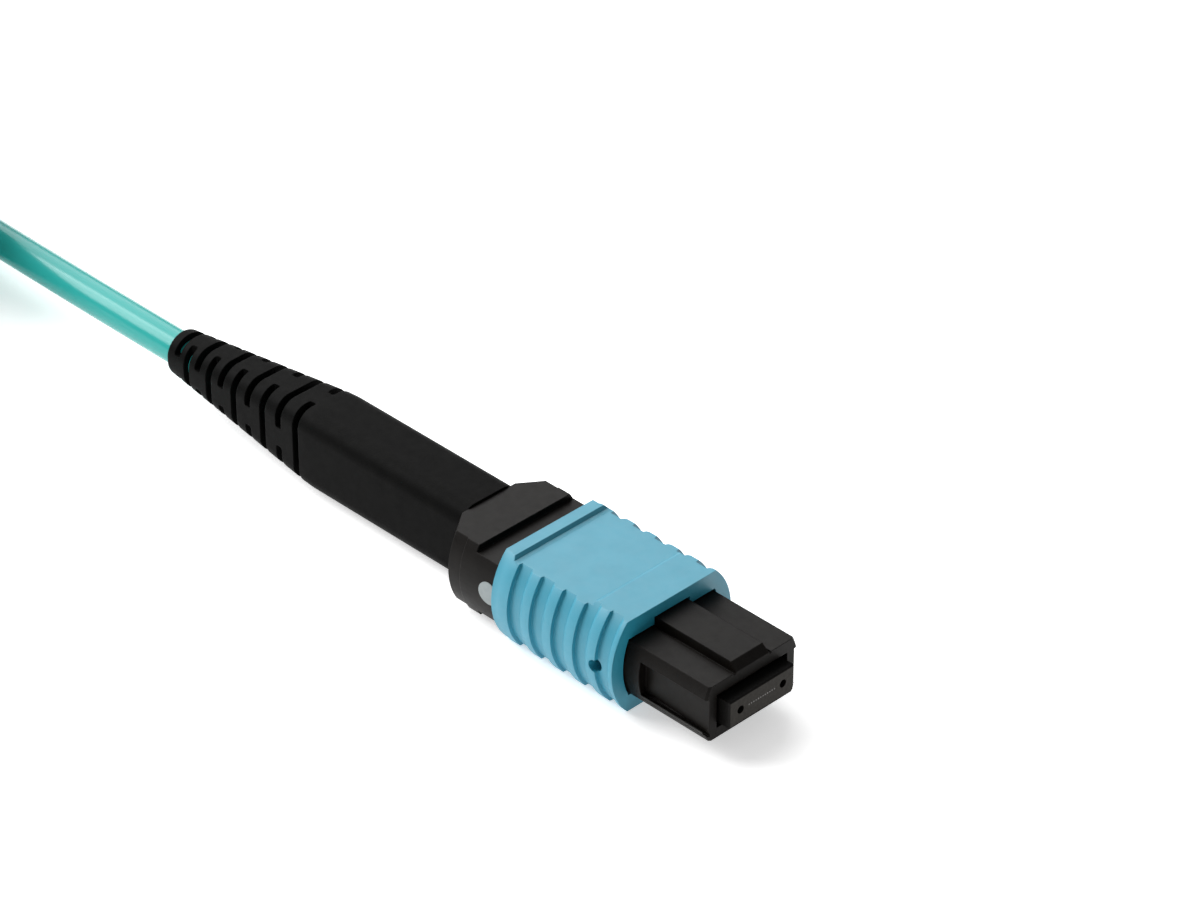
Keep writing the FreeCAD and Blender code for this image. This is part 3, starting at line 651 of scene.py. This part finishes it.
# --- housing -------------------------------------------------------------------------
def bar_cutter(low, high):
    """A plain bar between two corners."""
    rings = [[Vector((x, low.y, low.z)), Vector((x, high.y, low.z)),
              Vector((x, high.y, high.z)), Vector((x, low.y, high.z))] for x in (low.x, high.x)]
    return capped_loft(rings)


def make_housing(finish):
    """The housing, with a fine groove along the ledge under each latch recess."""
    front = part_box("inner_housing")[1].x + EDGE_SPARE
    top = RECESS_BOTTOM + CUTTER_LAP
    cutters = []
    for side in (1, -1):
        near, far = side * LIP_GROOVE_INNER_Y, side * LIP_GROOVE_OUTER_Y
        beyond = side * (LIP_GROOVE_OUTER_Y + CUTTER_REACH)
        cutters.append(bar_cutter(Vector((RECESS_REAR_X, near, top - LIP_GROOVE_DEPTH)),
                                  Vector((front, far, top))))
        cutters.append(bar_cutter(Vector((LIP_NOTCH_X, near, top - LIP_NOTCH_DEPTH)),
                                  Vector((front, beyond, top))))
    housing = cut_mesh("housing_shell", copied_mesh("inner_housing"), cutters)
    dress(housing, finish)
    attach(housing, "housing")
    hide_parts("inner_housing")


# --- springs -------------------------------------------------------------------------
def make_spring(node, wire, turns, finish):
    """A smooth round-wire coil in the CAD spring's place."""
    low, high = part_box(node)
    half_y = (high.y - low.y) / 2 - wire
    half_z = (high.z - low.z) / 2 - wire
    middle = (low + high) / 2
    count = turns * SPRING_TURN_POINTS
    run = high.x - low.x - 2 * wire
    vertices, faces = [], []
    for n in range(count + 1):
        angle = 2 * math.pi * n / SPRING_TURN_POINTS
        radial = Vector((0, math.cos(angle), math.sin(angle)))
        centre = Vector((low.x + wire + run * n / count, middle.y + half_y * radial.y,
                         middle.z + half_z * radial.z))
        for side in range(WIRE_SIDES):
            turn = 2 * math.pi * side / WIRE_SIDES
            vertices.append(centre + Vector((wire * math.cos(turn), 0, 0))
                            + radial * wire * math.sin(turn))
    for n in range(count):
        for side in range(WIRE_SIDES):
            a = n * WIRE_SIDES + side
            b = n * WIRE_SIDES + (side + 1) % WIRE_SIDES
            faces.append((a, b, b + WIRE_SIDES, a + WIRE_SIDES))
    faces.append(tuple(reversed(range(WIRE_SIDES))))
    faces.append(tuple(count * WIRE_SIDES + side for side in range(WIRE_SIDES)))
    mesh = bpy.data.meshes.new(node + "_coil")
    mesh.from_pydata(vertices, [], faces)
    mesh.polygons.foreach_set("use_smooth", [True] * len(mesh.polygons))
    coil = bpy.data.objects.new(node + "_coil", mesh)
    scene.collection.objects.link(coil)
    dress(coil, finish)
    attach(coil, "housing")
    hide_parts(node)
    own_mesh(coil)


# --- stage ---------------------------------------------------------------------------
def make_camera():
    """A long lens that looks down on the connector's mating end and -Y side."""
    data = bpy.data.cameras.new("camera")
    data.lens = LENS
    data.sensor_width = SENSOR
    data.clip_start = CAMERA_NEAR
    camera = bpy.data.objects.new("camera", data)
    backward = Vector((math.sin(AZIMUTH) * math.cos(ELEVATION),
                       -math.cos(AZIMUTH) * math.cos(ELEVATION), math.sin(ELEVATION)))
    right = Vector((math.cos(AZIMUTH), math.sin(AZIMUTH), 0))
    up = backward.cross(right)
    turn = Matrix((right, up, backward)).transposed().to_4x4()
    camera.matrix_world = Matrix.Translation(CAMERA_PLACE) @ turn
    scene.collection.objects.link(camera)
    scene.camera = camera


def make_floor():
    """A plain white floor at the level that the part rests on."""
    material = Finish("floor", 0.9).colour((0.92, 0.92, 0.92), (0.94, 0.94, 0.94), 4).material
    size, level = FLOOR_HALF_SIZE, CAD_BOX[0][2]
    mesh = bpy.data.meshes.new("floor")
    mesh.from_pydata([(-size, -size, level), (size, -size, level), (size, size, level),
                      (-size, size, level)], [], [(0, 1, 2, 3)])
    shader = material.node_tree.nodes["Principled BSDF"]
    shader.inputs["Emission Color"].default_value = (1, 1, 1, 1)
    shader.inputs["Emission Strength"].default_value = FLOOR_GLOW
    floor = bpy.data.objects.new("floor", mesh)
    scene.collection.objects.link(floor)
    dress(floor, material)


def make_light(name, place, side, power):
    """A square soft light that faces the middle of the connector."""
    data = bpy.data.lights.new(name, "AREA")
    data.shape = "RECTANGLE"
    data.size, data.size_y = side, side
    data.energy = power
    light = bpy.data.objects.new(name, data)
    light.location = place
    light.rotation_euler = (LIGHT_TARGET - Vector(place)).to_track_quat("-Z", "Y").to_euler()
    scene.collection.objects.link(light)


def make_lights():
    """A white sky and two soft lights, both from behind the boot and above."""
    world = bpy.data.worlds.new("studio")
    world.use_nodes = True
    background = world.node_tree.nodes["Background"]
    background.inputs["Color"].default_value = (1, 1, 1, 1)
    background.inputs["Strength"].default_value = SKY_STRENGTH
    scene.world = world
    make_light("key_light", place=(-0.45, 0.16, 0.46), side=0.7, power=4.4)
    make_light("fill_light", place=(-0.52, -0.25, 0.41), side=0.4, power=4.0)
    scene.view_settings.view_transform = "Standard"


def main():
    finishes = make_finishes()
    dress_cad_nodes(finishes)
    make_cord(finishes["cord_jacket"])
    make_boot(finishes["boot_rubber"])
    make_sleeve(finishes["sleeve_aqua"])
    make_collar(finishes["housing_black"])
    make_housing(finishes["housing_black"])
    for node in ("sleeve_spring_left", "sleeve_spring_right"):
        make_spring(node, SIDE_SPRING_WIRE, SIDE_SPRING_TURNS,
                    finishes["spring_steel"])
    make_spring("ferrule_spring", FERRULE_SPRING_WIRE, FERRULE_SPRING_TURNS,
                finishes["spring_steel"])
    make_camera()
    make_floor()
    make_lights()


main()
